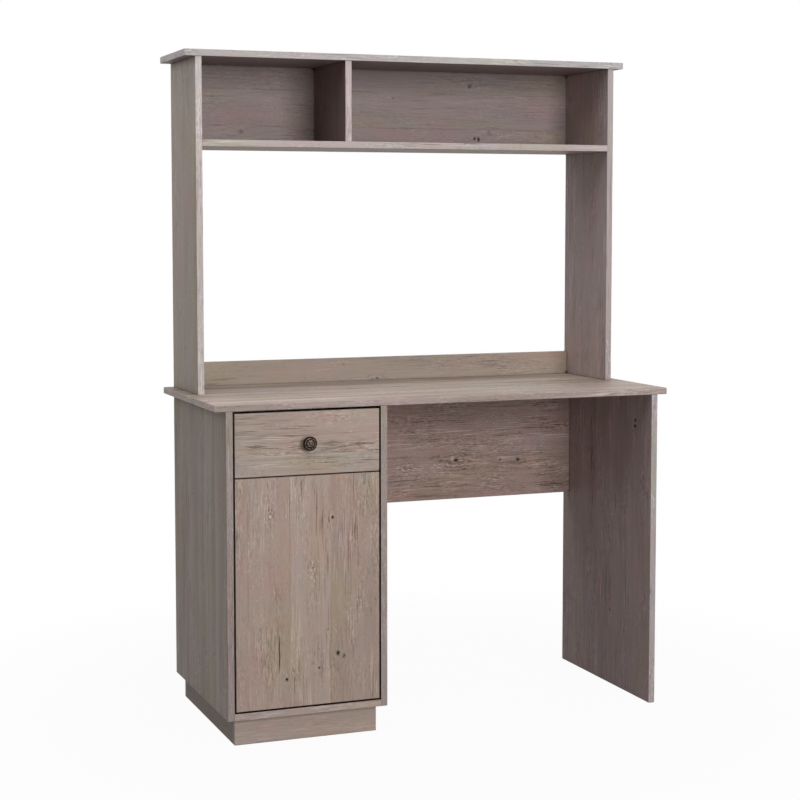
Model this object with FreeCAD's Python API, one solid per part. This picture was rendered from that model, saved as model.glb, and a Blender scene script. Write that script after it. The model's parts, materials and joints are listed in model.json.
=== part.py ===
import FreeCAD, Part
import math
import os
from FreeCAD import Vector

os.makedirs("parts", exist_ok=True)

# Overall sizes, in millimetres
desk_width = 1100.0
desk_depth = 450.0
desk_height = 750.0
total_height = 1525.0
board = 15.0
hardboard = 3.0
side_overhang = 25.0
edge_ease = 0.6
desktop_ease = 2.0

# Cabinet under the left end
cabinet_width = 370.0
plinth_height = 60.0
plinth_inset = 20.0
plinth_back_inset = 5.0
drawer_front_height = 138.2
side_gap = 4.2
top_gap = 5.2
middle_gap = 3.2
bottom_gap = 4.2
deck_setback = 2.0
shelf_height = 330.0
shelf_setback = 25.0
shelf_play = 0.5
back_margin = 2.0

# Kneehole
modesty_height = 290.0
modesty_recess = 18.0

# Hutch
hutch_depth = 222.0
hutch_top_overhang = 2.0
cubby_height = 185.0
divider_offset = 356.0
rail_height = 57.0

# Drawer box
drawer_board = 12.0
drawer_length = 400.0
drawer_side_height = 105.0
drawer_bottom_rise = 12.0
groove_depth = 6.0
groove_play = 0.2

# Roller runners
runner_gap = 12.5
runner_sheet = 1.2
runner_rise = 6.5
runner_setback = 2.0
channel_height = 15.0
lower_flange = 8.5
upper_flange = 7.5
carried_flange_height = 19.0
carried_flange_reach = 2.0
under_flange = 11.0
roller_radius = 7.0
roller_gap = 0.3
front_roller_width = 5.5
rear_roller_width = 4.5
rear_roller_offset = 3.5
roller_end_inset = 12.0
channel_mouth = 26.0
axle_radius = 2.0
axle_head_radius = 3.2
axle_head_height = 0.5
axle_shoulder_radius = 3.0

# Knob
knob_radius = 15.5
knob_projection = 22.0
knob_foot_radius = 8.0
knob_foot_height = 1.5
knob_neck_radius = 5.5
knob_neck_start = 4.0
knob_neck_end = 8.0
knob_rim_back = 13.0
knob_face = 16.4
knob_ring_rise = 1.0
knob_rim_width = 3.2
knob_ring_width = 2.6
knob_hole_depth = 12.0
knob_screw_radius = 2.0
knob_screw_head_radius = 4.0
knob_screw_head_height = 2.2
knob_screw_bite = 10.0

# Concealed hinges
hinge_end_distance = 85.0
pivot_from_edge = 14.0
pivot_from_front = 8.0
cup_from_edge = 22.0
cup_radius = 17.5
cup_depth = 11.2
cup_wall = 0.8
cup_flange = 1.0
cup_flange_radius = 20.0
cup_wing_reach = 29.0
cup_wing_near = 2.0
cup_wing_far = 16.0
cup_screw_rise = 22.5
cup_screw_offset = 9.5
pin_radius = 1.5
hub_radius = 3.0
arm_width = 18.0
arm_thickness = 2.4
arm_reach = 13.0
arm_rise = 19.0
arm_foot_length = 45.0
plate_thickness = 1.5
plate_height = 44.0
plate_screw_rise = 16.0
plate_screw_back = 24.0
arm_screw_back = 34.0

# Push latch
latch_from_edge = 30.0
latch_width = 14.0
latch_height = 16.0
latch_length = 45.0
latch_setback = 5.0
plunger_radius = 4.0
plunger_length = 38.0
plunger_gap = 0.3
latch_bore_depth = 41.0
strike_thickness = 1.0
strike_length = 26.0
strike_height = 12.0
strike_end = 6.0
strike_screw_offset = 13.0
latch_screw_spread = 14.0

# Shelf pins
pin_hole_depth = 8.0
shelf_pin_radius = 2.5
shelf_pin_reach = 10.0
shelf_pin_width = 8.0
shelf_pin_thickness = 3.0
pin_row_step = 64.0
shelf_pin_inset = 60.0

# Fasteners
fit_clearance = 0.05
screw_clearance = 0.3
drill_past = 0.5
end_clearance = 0.5
dowel_radius = 4.0
drawer_dowel_radius = 3.0
dowel_face_depth = 9.0
dowel_edge_depth = 19.0
through_depth = 20.0
cam_distance = 24.0
cam_radius = 7.5
cam_bore_depth = 12.5
cam_recess = 0.3
cam_slot_length = 9.0
cam_slot_width = 1.6
cam_slot_depth = 1.2
bolt_thread_radius = 2.5
bolt_thread_depth = 10.5
bolt_collar_radius = 3.5
bolt_collar_length = 2.0
bolt_neck_radius = 2.0
bolt_head_radius = 3.3
bolt_head_length = 1.5
bolt_bore_radius = 4.0
long_screw_radius = 2.2
long_screw_length = 45.0
long_screw_head_radius = 4.5
long_screw_head_height = 2.5
small_screw_radius = 1.6
small_screw_length = 11.0
small_screw_head_radius = 3.0
small_screw_head_height = 1.2
cross_length = 3.2
cross_width = 0.8
cross_depth = 0.7
socket_radius = 2.2
socket_depth = 1.5
nail_radius = 0.8
nail_length = 16.0
nail_head_radius = 1.8
nail_head_height = 0.6
nail_spacing = 150.0
nail_end_inset = 20.0
joint_inset = 60.0
cam_dowel_step = 32.0

# Where the pieces meet, from the sizes above: the origin is under the middle of the whole box
along_x = Vector(1, 0, 0)
along_y = Vector(0, 1, 0)
along_z = Vector(0, 0, 1)
front_y = -(desk_depth + hardboard + nail_head_height - knob_projection) / 2
back_y = front_y + desk_depth
left_x = -desk_width / 2 + side_overhang
right_x = desk_width / 2 - side_overhang
desk_under = desk_height - board
cabinet_right = left_x + cabinet_width
cabinet_floor = plinth_height + board
drawer_front_top = desk_under - top_gap
drawer_front_bottom = drawer_front_top - drawer_front_height
drawer_gap_height = drawer_front_bottom - middle_gap / 2
inner_left = left_x + board
inner_right = cabinet_right - board
cabinet_middle = (inner_left + inner_right) / 2
front_back = front_y + board
deck_under = drawer_gap_height
deck_mid = deck_under + board / 2
deck_top = deck_under + board
deck_front = front_back + deck_setback
door_left = inner_left + side_gap
door_right = inner_right - side_gap
door_bottom = cabinet_floor + bottom_gap
door_top = drawer_gap_height - middle_gap / 2
runner_floor = deck_top + runner_rise
drawer_back_y = front_back + drawer_length
modesty_back = back_y - modesty_recess
modesty_mid = modesty_back - board / 2
modesty_bottom = desk_under - modesty_height
hutch_front = back_y - hutch_depth
hutch_top_under = total_height - board
hutch_shelf_top = hutch_top_under - cubby_height
hutch_shelf_under = hutch_shelf_top - board
divider_left = left_x + divider_offset
divider_mid = divider_left + board / 2
rail_mid = back_y - board / 2
leg_left = right_x - board
left_mid = left_x + board / 2
cabinet_right_mid = cabinet_right - board / 2
leg_mid = right_x - board / 2

pieces = {}
cutters = {}
groups = {}


def block(x1, x2, y1, y2, z1, z2):
    low = Vector(min(x1, x2), min(y1, y2), min(z1, z2))
    return Part.makeBox(abs(x2 - x1), abs(y2 - y1), abs(z2 - z1), low)


def eased_block(x1, x2, y1, y2, z1, z2, ease):
    plain = block(x1, x2, y1, y2, z1, z2)
    return plain.makeFillet(ease, plain.Edges)


def add_board(name, x1, x2, y1, y2, z1, z2, ease=edge_ease):
    pieces[name] = eased_block(x1, x2, y1, y2, z1, z2, ease)


def rod(point, way, start, end, radius):
    return Part.makeCylinder(radius, end - start, point + way * start, way)


def slab(centre, first, first_size, second, second_size, third, third_size):
    span = first * first_size + second * second_size + third * third_size
    half = Vector(abs(span.x) / 2, abs(span.y) / 2, abs(span.z) / 2)
    low = centre - half
    high = centre + half
    return block(low.x, high.x, low.y, high.y, low.z, high.z)


def cut(name, tool):
    cutters.setdefault(name, []).append(tool)


def add_to(group, solid):
    groups.setdefault(group, []).append(solid)


def joined(first, *others):
    return first.fuse(list(others)).removeSplitter()


# A dowel is drilled into one board's face and another board's edge; way runs from face to edge
def add_dowel(face_board, edge_board, point, way, radius=dowel_radius, face_depth=dowel_face_depth,
              group="dowels"):
    hole = radius + fit_clearance
    cut(face_board, rod(point, way, -face_depth, drill_past, hole))
    cut(edge_board, rod(point, way, -drill_past, dowel_edge_depth + end_clearance, hole))
    add_to(group, rod(point, way, -face_depth, dowel_edge_depth, radius))


# A long dowel passes through the desktop and ties the board below to the board above
def add_through_dowel(lower_board, upper_board, x, y):
    foot = Vector(x, y, desk_under)
    hole = dowel_radius + fit_clearance
    top = board + through_depth
    cut(lower_board, rod(foot, along_z, -through_depth, drill_past, hole))
    cut("desktop", rod(foot, along_z, -drill_past, board + drill_past, hole))
    cut(upper_board, rod(foot, along_z, board - drill_past, top + end_clearance, hole))
    add_to("dowels", rod(foot, along_z, -through_depth, top, dowel_radius))


# A cam lock in the edge board pulls on a bolt in the face board; opening is the side the cam is turned from
def add_cam(face_board, edge_board, point, way, opening):
    centre = point + way * cam_distance
    floor = centre + opening * (board / 2 - cam_bore_depth)
    cam_top = cam_bore_depth - cam_recess
    tunnel_end = cam_distance + bolt_head_length + end_clearance
    cut(face_board, rod(point, way, -bolt_thread_depth - end_clearance, drill_past,
                        bolt_thread_radius + fit_clearance))
    cut(edge_board, rod(point, way, -drill_past, tunnel_end, bolt_bore_radius))
    cut(edge_board, rod(floor, opening, 0.0, cam_bore_depth + drill_past, cam_radius))
    thread = rod(point, way, -bolt_thread_depth, 0.0, bolt_thread_radius)
    collar = rod(point, way, 0.0, bolt_collar_length, bolt_collar_radius)
    neck = rod(point, way, 0.0, cam_distance, bolt_neck_radius)
    head = rod(point, way, cam_distance - bolt_head_length, cam_distance + bolt_head_length, bolt_head_radius)
    add_to("cam_bolts", joined(thread, collar, neck, head))
    across = way.cross(opening)
    face = floor + opening * cam_top
    tunnel = rod(point, way, cam_distance - 2 * cam_radius, tunnel_end, bolt_bore_radius)
    cross = [slab(face, way, cam_slot_length, across, cam_slot_width, opening, 2 * cam_slot_depth),
             slab(face, way, cam_slot_width, across, cam_slot_length, opening, 2 * cam_slot_depth)]
    disc = rod(floor, opening, 0.0, cam_top, cam_radius - fit_clearance)
    add_to("cam_locks", disc.cut([tunnel] + cross))


# A long screw's head sits in a counterbore in the clamped board, its thread in the board beyond
def add_long_screw(clamped_board, thread_board, surface, way):
    seat = surface + way * (long_screw_head_height + end_clearance)
    bore = rod(surface, way, -drill_past, long_screw_head_height + end_clearance,
               long_screw_head_radius + screw_clearance)
    cut(clamped_board, bore)
    cut(clamped_board, rod(surface, way, 0.0, board + drill_past, long_screw_radius + screw_clearance))
    cut(thread_board, rod(seat, way, 0.0, long_screw_length + end_clearance,
                          long_screw_radius + fit_clearance))
    head = rod(seat, way, -long_screw_head_height, 0.0, long_screw_head_radius)
    screw = joined(head, rod(seat, way, 0.0, long_screw_length, long_screw_radius))
    corners = [seat + Vector(math.cos(turn), math.sin(turn), 0) * socket_radius - way * long_screw_head_height
               for turn in [math.radians(60 * corner) for corner in range(7)]]
    socket = Part.Face(Part.makePolygon(corners)).extrude(way * socket_depth)
    add_to("long_screws", screw.cut(socket))


# A small screw holds metal or plastic hardware to a board; seat is under its head
def add_small_screw(group, seat, way, clamped, thread_board, length=small_screw_length):
    for name in clamped:
        cut(name, rod(seat, way, -drill_past, length, small_screw_radius + screw_clearance))
    cut(thread_board, rod(seat, way, 0.0, length + end_clearance, small_screw_radius + fit_clearance))
    head = rod(seat, way, -small_screw_head_height, 0.0, small_screw_head_radius)
    screw = joined(head, rod(seat, way, 0.0, length, small_screw_radius))
    face = seat - way * small_screw_head_height
    first = Vector(way.y, way.z, way.x)
    second = way.cross(first)
    add_to(group, screw.cut([slab(face, first, cross_length, second, cross_width, way, 2 * cross_depth),
                             slab(face, first, cross_width, second, cross_length, way, 2 * cross_depth)]))


def add_nail(back_board, thread_board, x, z):
    seat = Vector(x, back_y + hardboard, z)
    hole = nail_radius + fit_clearance
    cut(back_board, rod(seat, -along_y, -drill_past, hardboard + drill_past, hole))
    cut(thread_board, rod(seat, -along_y, 0.0, nail_length + end_clearance, hole))
    head = rod(seat, along_y, 0.0, nail_head_height, nail_head_radius)
    add_to("back_nails", joined(head, rod(seat, -along_y, 0.0, nail_length, nail_radius)))


def spread(start, end, inset, spacing):
    first = start + inset
    last = end - inset
    steps = max(1, round((last - first) / spacing))
    return [first + (last - first) * step / steps for step in range(steps + 1)]


# Desktop, cabinet, leg and modesty panel
add_board("desktop", -desk_width / 2, desk_width / 2, front_y, back_y, desk_under, desk_height, desktop_ease)
add_board("cabinet_left_side", left_x, inner_left, front_y, back_y, plinth_height, desk_under)
add_board("cabinet_right_side", inner_right, cabinet_right, front_y, back_y, plinth_height, desk_under)
add_board("cabinet_bottom", inner_left, inner_right, front_y, back_y, plinth_height, cabinet_floor)
add_board("drawer_deck", inner_left, inner_right, deck_front, back_y, deck_under, deck_top)
add_board("right_leg_panel", leg_left, right_x, front_y, back_y, 0.0, desk_under)
add_board("modesty_panel", cabinet_right, leg_left, modesty_back - board, modesty_back,
          modesty_bottom, desk_under)
pieces["cabinet_back"] = block(left_x + back_margin, cabinet_right - back_margin, back_y, back_y + hardboard,
                               plinth_height + back_margin, desk_under - back_margin)

# Plinth: the front and back boards run across the ends of the two side boards
plinth_left = left_x + plinth_inset
plinth_right = cabinet_right - plinth_inset
plinth_front = front_y + plinth_inset
plinth_back = back_y - plinth_back_inset
add_board("plinth_front", plinth_left, plinth_right, plinth_front, plinth_front + board, 0.0, plinth_height)
add_board("plinth_back", plinth_left, plinth_right, plinth_back - board, plinth_back, 0.0, plinth_height)
add_board("plinth_left", plinth_left, plinth_left + board, plinth_front + board, plinth_back - board,
          0.0, plinth_height)
add_board("plinth_right", plinth_right - board, plinth_right, plinth_front + board, plinth_back - board,
          0.0, plinth_height)

# Hutch
add_board("hutch_left_side", left_x, inner_left, hutch_front, back_y, desk_height, hutch_top_under)
add_board("hutch_right_side", leg_left, right_x, hutch_front, back_y, desk_height, hutch_top_under)
add_board("hutch_top", -desk_width / 2, desk_width / 2, hutch_front - hutch_top_overhang, back_y,
          hutch_top_under, total_height)
add_board("hutch_shelf", inner_left, leg_left, hutch_front, back_y, hutch_shelf_under, hutch_shelf_top)
add_board("hutch_divider", divider_left, divider_left + board, hutch_front, back_y,
          hutch_shelf_top, hutch_top_under)
add_board("hutch_low_rail", inner_left, leg_left, back_y - board, back_y, desk_height,
          desk_height + rail_height)
pieces["hutch_back"] = block(left_x + back_margin, right_x - back_margin, back_y, back_y + hardboard,
                             hutch_shelf_under + back_margin, total_height - back_margin)

# Cabinet joints: sides under the desktop, bottom and deck between the sides
front_joint = front_y + joint_inset
back_joint = back_y - joint_inset
for side, x, opening in (("cabinet_left_side", left_mid, along_x),
                         ("cabinet_right_side", cabinet_right_mid, -along_x)):
    for y, step in ((front_joint, cam_dowel_step), (back_joint - cam_dowel_step, -cam_dowel_step)):
        add_cam("desktop", side, Vector(x, y, desk_under), -along_z, opening)
        add_dowel("desktop", side, Vector(x, y + step, desk_under), -along_z)
for level, height in (("cabinet_bottom", plinth_height + board / 2), ("drawer_deck", deck_mid)):
    for side, x, way in (("cabinet_left_side", inner_left, along_x),
                         ("cabinet_right_side", inner_right, -along_x)):
        for y, step in ((front_joint, cam_dowel_step), (back_joint, -cam_dowel_step)):
            add_cam(side, level, Vector(x, y, height), way, along_z)
            add_dowel(side, level, Vector(x, y + step, height), way)

# Leg and modesty panel joints: their cams open to the back, out of sight
add_dowel("desktop", "right_leg_panel", Vector(leg_mid, front_joint, desk_under), -along_z)
leg_cam = Vector(leg_mid, back_joint - cam_dowel_step, desk_under)
add_cam("desktop", "right_leg_panel", leg_cam, -along_z, -along_x)
modesty_low = modesty_bottom + joint_inset
modesty_high = desk_under - joint_inset
for side, x, way in (("cabinet_right_side", cabinet_right, along_x), ("right_leg_panel", leg_left, -along_x)):
    for z, step in ((modesty_low, cam_dowel_step), (modesty_high, -cam_dowel_step)):
        add_cam(side, "modesty_panel", Vector(x, modesty_mid, z), way, along_y)
        add_dowel(side, "modesty_panel", Vector(x, modesty_mid, z + step), way)
for x in (cabinet_right + 2 * joint_inset, leg_left - 2 * joint_inset):
    add_dowel("desktop", "modesty_panel", Vector(x, modesty_mid, desk_under), -along_z)

# Plinth dowels stand in the plinth's top edge and reach up into the cabinet bottom
plinth_middle = (plinth_front + plinth_back) / 2
for x in (plinth_left + joint_inset, plinth_right - joint_inset):
    add_dowel("cabinet_bottom", "plinth_front", Vector(x, plinth_front + board / 2, plinth_height), -along_z)
    add_dowel("cabinet_bottom", "plinth_back", Vector(x, plinth_back - board / 2, plinth_height), -along_z)
for name, x in (("plinth_left", plinth_left + board / 2), ("plinth_right", plinth_right - board / 2)):
    add_dowel("cabinet_bottom", name, Vector(x, plinth_middle, plinth_height), -along_z)
    for cross_board, y, way in (("plinth_front", plinth_front + board, along_y),
                                ("plinth_back", plinth_back - board, -along_y)):
        add_dowel(cross_board, name, Vector(x, y, plinth_height / 2), way)

# Hutch joints
rail_dowel_height = desk_height + rail_height / 2
hutch_joint_front = hutch_front + joint_inset
hutch_joint_back = back_y - joint_inset
for lower, upper, inner, middle, way in (
        ("cabinet_left_side", "hutch_left_side", inner_left, left_mid, along_x),
        ("right_leg_panel", "hutch_right_side", leg_left, leg_mid, -along_x)):
    add_through_dowel(lower, upper, middle, hutch_joint_front)
    add_through_dowel(lower, upper, middle, hutch_joint_back)
    add_cam(upper, "hutch_low_rail", Vector(inner, rail_mid, rail_dowel_height), way, along_y)
    for y, step in ((hutch_joint_front, cam_dowel_step), (hutch_joint_back, -cam_dowel_step)):
        shelf_point = Vector(inner, y, hutch_shelf_under + board / 2)
        add_cam(upper, "hutch_shelf", shelf_point, way, along_z)
        add_dowel(upper, "hutch_shelf", shelf_point + along_y * step, way)
uprights = (("hutch_left_side", left_mid), ("hutch_right_side", leg_mid), ("hutch_divider", divider_mid))
for upright, x in uprights:
    for y in (hutch_joint_front, hutch_joint_back):
        add_long_screw("hutch_top", upright, Vector(x, y, total_height), -along_z)
for y in (hutch_joint_front, hutch_joint_back):
    add_dowel("hutch_shelf", "hutch_divider", Vector(divider_mid, y, hutch_shelf_top), along_z)
for x in spread(cabinet_right, leg_left, 2 * joint_inset, desk_width / 4):
    add_long_screw("desktop", "hutch_low_rail", Vector(x, rail_mid, desk_under), along_z)

# Nails around the two thin backs
for name, x in (("cabinet_left_side", left_mid), ("cabinet_right_side", cabinet_right_mid)):
    for z in spread(plinth_height, desk_under, nail_end_inset, nail_spacing):
        add_nail("cabinet_back", name, x, z)
for name, z in (("cabinet_bottom", plinth_height + board / 2), ("drawer_deck", deck_mid)):
    add_nail("cabinet_back", name, cabinet_middle, z)
for name, z in (("hutch_shelf", hutch_shelf_under + board / 2), ("hutch_top", total_height - board / 2)):
    for x in spread(left_x, right_x, nail_end_inset + board, nail_spacing):
        add_nail("hutch_back", name, x, z)
for upright, x in uprights:
    add_nail("hutch_back", upright, x, (hutch_shelf_top + hutch_top_under) / 2)

# Loose shelf on four pins, with two spare rows of pin holes
shelf_front = front_back + shelf_setback
add_board("cupboard_shelf", inner_left + shelf_play, inner_right - shelf_play, shelf_front,
          back_y - shelf_play, shelf_height, shelf_height + board)
for side, x, way in (("cabinet_left_side", inner_left, along_x),
                     ("cabinet_right_side", inner_right, -along_x)):
    for y in (shelf_front + shelf_pin_inset, back_y - shelf_pin_inset):
        tongue = Vector(x, y, shelf_height - shelf_pin_thickness / 2) + way * (shelf_pin_reach / 2)
        pin_centre = Vector(x, y, shelf_height - shelf_pin_radius)
        for row in (-1, 0, 1):
            hole_centre = pin_centre + along_z * (row * pin_row_step)
            cut(side, rod(hole_centre, way, -pin_hole_depth, drill_past, shelf_pin_radius + fit_clearance))
        shank = rod(pin_centre, way, -pin_hole_depth, shelf_pin_thickness, shelf_pin_radius)
        plate = slab(tongue, along_x, shelf_pin_reach, along_y, shelf_pin_width, along_z, shelf_pin_thickness)
        add_to("shelf_pins", joined(plate, shank))

# Drawer box
drawer_left = inner_left + runner_gap
drawer_right = inner_right - runner_gap
drawer_top = runner_floor + drawer_side_height
bottom_under = runner_floor + drawer_bottom_rise
bottom_top = bottom_under + hardboard
groove_top = bottom_top + groove_play
tongue_depth = groove_depth - end_clearance
drawer_inner_left = drawer_left + drawer_board
drawer_inner_right = drawer_right - drawer_board
drawer_back_front = drawer_back_y - drawer_board
add_board("drawer_front", door_left, door_right, front_y, front_back, drawer_front_bottom, drawer_front_top)
add_board("drawer_left_side", drawer_left, drawer_inner_left, front_back, drawer_back_y,
          runner_floor, drawer_top)
add_board("drawer_right_side", drawer_inner_right, drawer_right, front_back, drawer_back_y,
          runner_floor, drawer_top)
add_board("drawer_back", drawer_inner_left, drawer_inner_right, drawer_back_front, drawer_back_y,
          bottom_top, drawer_top)
pieces["drawer_bottom"] = block(drawer_inner_left - tongue_depth, drawer_inner_right + tongue_depth,
                                front_back - tongue_depth, drawer_back_y, bottom_under, bottom_top)
groove = block(drawer_inner_left - groove_depth, drawer_inner_right + groove_depth,
               front_back - groove_depth, drawer_back_y + drill_past, bottom_under, groove_top)
for name in ("drawer_front", "drawer_left_side", "drawer_right_side"):
    cut(name, groove)
drawer_dowel_face = drawer_board - drawer_dowel_radius
for side, x, inner, way in (
        ("drawer_left_side", drawer_left + drawer_board / 2, drawer_inner_left, along_x),
        ("drawer_right_side", drawer_right - drawer_board / 2, drawer_inner_right, -along_x)):
    for z in (groove_top + cam_dowel_step, drawer_top - cam_dowel_step):
        add_dowel("drawer_front", side, Vector(x, front_back, z), along_y, drawer_dowel_radius,
                  dowel_face_depth, "drawer_dowels")
        back_point = Vector(inner, drawer_back_y - drawer_board / 2, z)
        add_dowel(side, "drawer_back", back_point, way, drawer_dowel_radius, drawer_dowel_face,
                  "drawer_dowels")

# Knob, turned about the drawer front's centre
knob_height = (drawer_front_bottom + drawer_front_top) / 2
knob_seat = Vector(cabinet_middle, front_y, knob_height)


def knob_point(radius, out):
    return knob_seat + along_x * radius - along_y * out


def knob_line(first, second):
    return Part.LineSegment(knob_point(*first), knob_point(*second)).toShape()


def knob_arc(first, middle, last):
    return Part.Arc(knob_point(*first), knob_point(*middle), knob_point(*last)).toShape()


rim_inner = knob_radius - knob_rim_width
ring_inner = rim_inner - knob_ring_width
ring_crest = knob_face + knob_ring_rise
rim_crest = (knob_radius + rim_inner) / 2
dome_rise = knob_projection - knob_face
dome_radius = (ring_inner ** 2 + dome_rise ** 2) / (2 * dome_rise)
dome_half_angle = math.asin(ring_inner / dome_radius) / 2
dome_mid = (dome_radius * math.sin(dome_half_angle),
            knob_projection - dome_radius * (1 - math.cos(dome_half_angle)))
flare_mid = ((knob_neck_radius + knob_radius) / 2 - knob_ring_rise, (knob_neck_end + knob_rim_back) / 2)
knob_outline = Part.Wire([
    knob_line((0.0, 0.0), (knob_foot_radius, 0.0)),
    knob_line((knob_foot_radius, 0.0), (knob_foot_radius, knob_foot_height)),
    knob_line((knob_foot_radius, knob_foot_height), (knob_neck_radius, knob_neck_start)),
    knob_line((knob_neck_radius, knob_neck_start), (knob_neck_radius, knob_neck_end)),
    knob_arc((knob_neck_radius, knob_neck_end), flare_mid, (knob_radius, knob_rim_back)),
    knob_line((knob_radius, knob_rim_back), (knob_radius, knob_face)),
    knob_arc((knob_radius, knob_face), (rim_crest, ring_crest), (rim_inner, knob_face)),
    knob_arc((rim_inner, knob_face), (rim_inner - knob_ring_width / 2, ring_crest), (ring_inner, knob_face)),
    knob_arc((ring_inner, knob_face), dome_mid, (0.0, knob_projection)),
    knob_line((0.0, knob_projection), (0.0, 0.0))])
knob_body = Part.Face(knob_outline).revolve(knob_seat, along_y, 360)
knob_hole = rod(knob_seat, -along_y, 0.0, knob_hole_depth, knob_screw_radius + fit_clearance)
pieces["drawer_knob"] = knob_body.cut(knob_hole)
knob_drilling = knob_screw_radius + screw_clearance
cut("drawer_front", rod(knob_seat, along_y, -drill_past, board + drill_past, knob_drilling))
screw_seat = Vector(cabinet_middle, front_back, knob_height)
screw_head = rod(screw_seat, along_y, 0.0, knob_screw_head_height, knob_screw_head_radius)
screw_shank = rod(screw_seat, -along_y, 0.0, board + knob_screw_bite, knob_screw_radius)
pieces["knob_screw"] = joined(screw_head, screw_shank)

# Roller runners: the cabinet's channel carries the drawer's rear roller, and the cabinet's front roller
# carries the drawer's flange
runner_front = front_back + runner_setback
runner_back = runner_front + drawer_length - runner_setback
channel_top = runner_floor + channel_height
carried_under = runner_floor + carried_flange_height
carried_top = carried_under + runner_sheet
front_axle_y = runner_front + roller_end_inset
front_axle_z = carried_under - roller_gap - roller_radius
rear_axle_y = drawer_back_y - roller_end_inset
rear_axle_z = runner_floor + roller_gap + roller_radius
for side, wall, way, cabinet_side, drawer_side in (
        ("left", inner_left, along_x, "cabinet_left_side", "drawer_left_side"),
        ("right", inner_right, -along_x, "cabinet_right_side", "drawer_right_side")):
    toward = way.x
    web_face = wall + toward * runner_sheet
    drawer_face = wall + toward * runner_gap
    drawer_web = drawer_face - toward * runner_sheet
    cabinet_runner = side + "_cabinet_runner"
    drawer_runner = side + "_drawer_runner"
    web = block(wall, web_face, runner_front, runner_back,
                runner_floor - runner_sheet, channel_top + runner_sheet)
    floor = block(wall, wall + toward * lower_flange, runner_front, runner_back,
                  runner_floor - runner_sheet, runner_floor)
    roof = block(wall, wall + toward * upper_flange, runner_front + channel_mouth, runner_back,
                 channel_top, channel_top + runner_sheet)
    pieces[cabinet_runner] = joined(web, floor, roof)
    carried_web = block(drawer_web, drawer_face, front_back, drawer_back_y,
                        runner_floor - runner_sheet, carried_top)
    under = block(drawer_face, drawer_face + toward * under_flange, front_back, drawer_back_y,
                  runner_floor - runner_sheet, runner_floor)
    carried = block(wall + toward * carried_flange_reach, drawer_web, front_back, drawer_back_y,
                    carried_under, carried_top)
    pieces[drawer_runner] = joined(carried_web, under, carried)

    front_centre = Vector(web_face, front_axle_y, front_axle_z)
    front_end = roller_gap + front_roller_width
    bore_radius = axle_radius + fit_clearance
    front_roller = rod(front_centre, way, roller_gap, front_end, roller_radius)
    pieces[side + "_front_roller"] = front_roller.cut(rod(front_centre, way, 0.0, runner_gap, bore_radius))
    cut(cabinet_runner, rod(front_centre, way, -runner_gap, runner_gap, bore_radius))
    front_axle = rod(front_centre, way, -runner_sheet, front_end + roller_gap, axle_radius)
    front_head_start = front_end + roller_gap
    front_head = rod(front_centre, way, front_head_start, front_head_start + axle_head_height,
                     axle_head_radius)
    add_to("front_roller_axles", joined(front_axle, front_head))

    rear_centre = Vector(drawer_web, rear_axle_y, rear_axle_z)
    rear_start = rear_roller_offset
    rear_end = rear_start + rear_roller_width
    rear_roller = rod(rear_centre, -way, rear_start, rear_end, roller_radius)
    pieces[side + "_rear_roller"] = rear_roller.cut(rod(rear_centre, -way, 0.0, runner_gap, bore_radius))
    cut(drawer_runner, rod(rear_centre, -way, -runner_gap, runner_gap, bore_radius))
    rear_axle = rod(rear_centre, -way, -runner_sheet, rear_end + roller_gap, axle_radius)
    shoulder = rod(rear_centre, -way, 0.0, rear_start - roller_gap, axle_shoulder_radius)
    rear_head_start = rear_end + roller_gap
    rear_head = rod(rear_centre, -way, rear_head_start, rear_head_start + axle_head_height, axle_head_radius)
    add_to("rear_roller_axles", joined(rear_axle, shoulder, rear_head))

    screw_z = runner_floor + channel_height / 2
    for y in spread(runner_front + channel_mouth, runner_back, cam_dowel_step, drawer_length / 3):
        add_small_screw("cabinet_hardware_screws", Vector(web_face, y, screw_z), -way,
                        [cabinet_runner], cabinet_side)
    for y in spread(front_back, drawer_back_y, joint_inset, drawer_length / 3):
        add_small_screw("drawer_runner_screws", Vector(drawer_web, y, screw_z), way,
                        [drawer_runner], drawer_side)

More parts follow.
